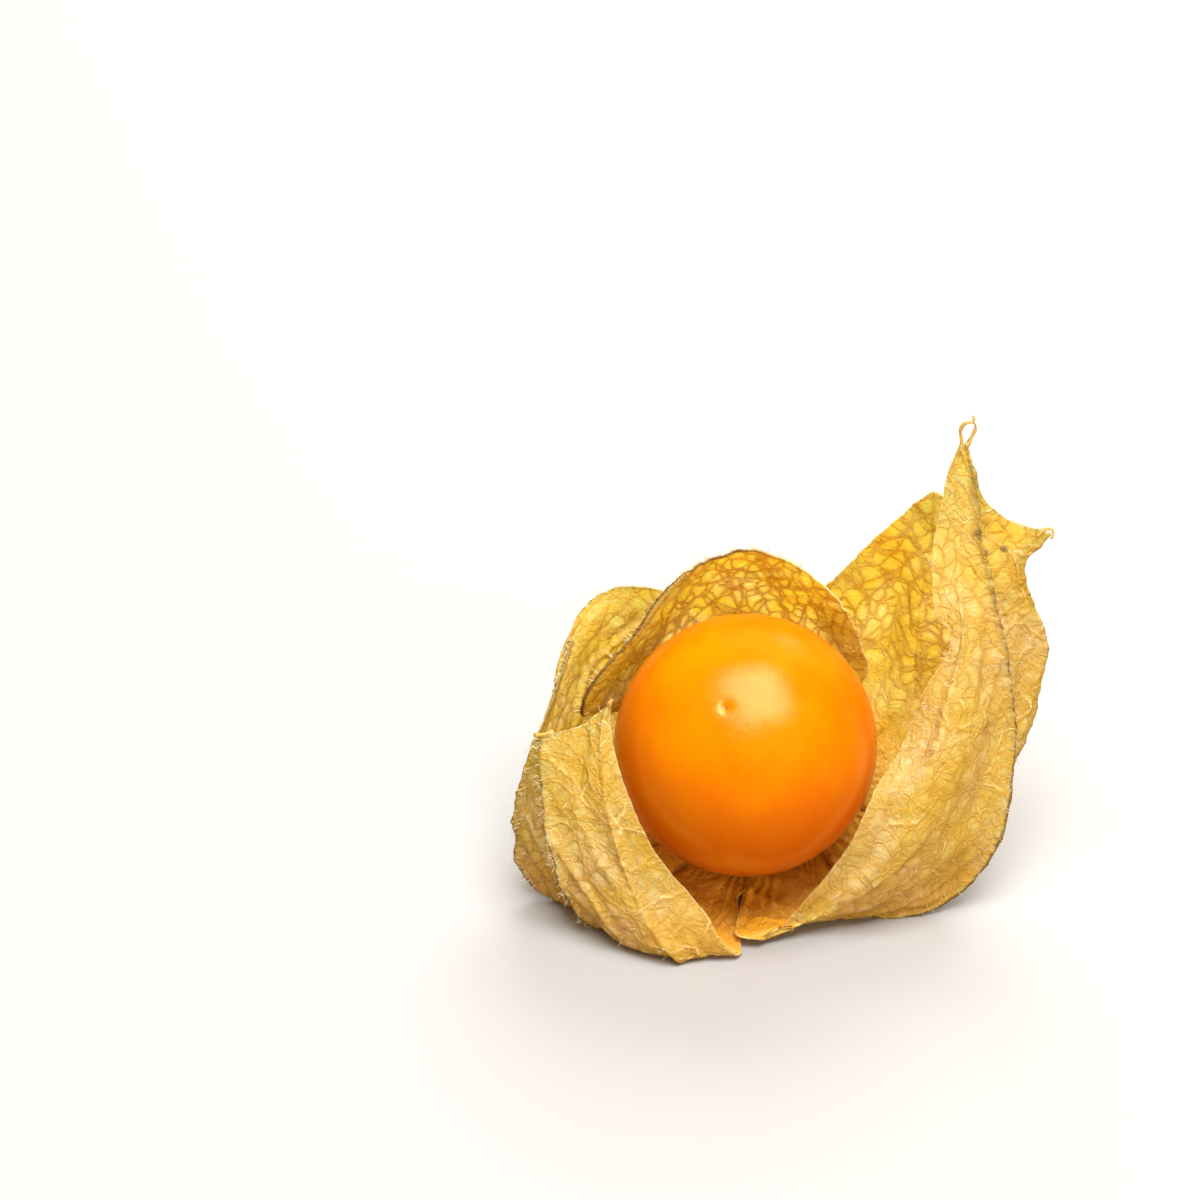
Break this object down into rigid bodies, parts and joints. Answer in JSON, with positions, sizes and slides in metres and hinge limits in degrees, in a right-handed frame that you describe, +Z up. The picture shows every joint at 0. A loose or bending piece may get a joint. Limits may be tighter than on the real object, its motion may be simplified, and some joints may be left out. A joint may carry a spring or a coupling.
{
  "type": "physalis berry in its open husk",
  "caption": "Round orange physalis berry lying on its side in its dry papery husk, torn open into a left flap, a back arch and a tall right tent, with a short cut stalk behind",
  "frame": {"origin": "middle of the whole footprint, on the surface that the fruit lies on", "axes": "+Z up, +X towards the tall right tent of the husk, and -Y towards the open side where the berry shows"},
  "size_m": [0.0408, 0.0286, 0.0353],
  "materials": {
    "berry_skin": "gloss",
    "husk_paper": "matte",
    "stalk_bark": "matte"
  },
  "bodies": {
    "root": {"berry": "berry_skin", "husk": "husk_paper", "stalk": "stalk_bark"}
  },
  "joints": []
}
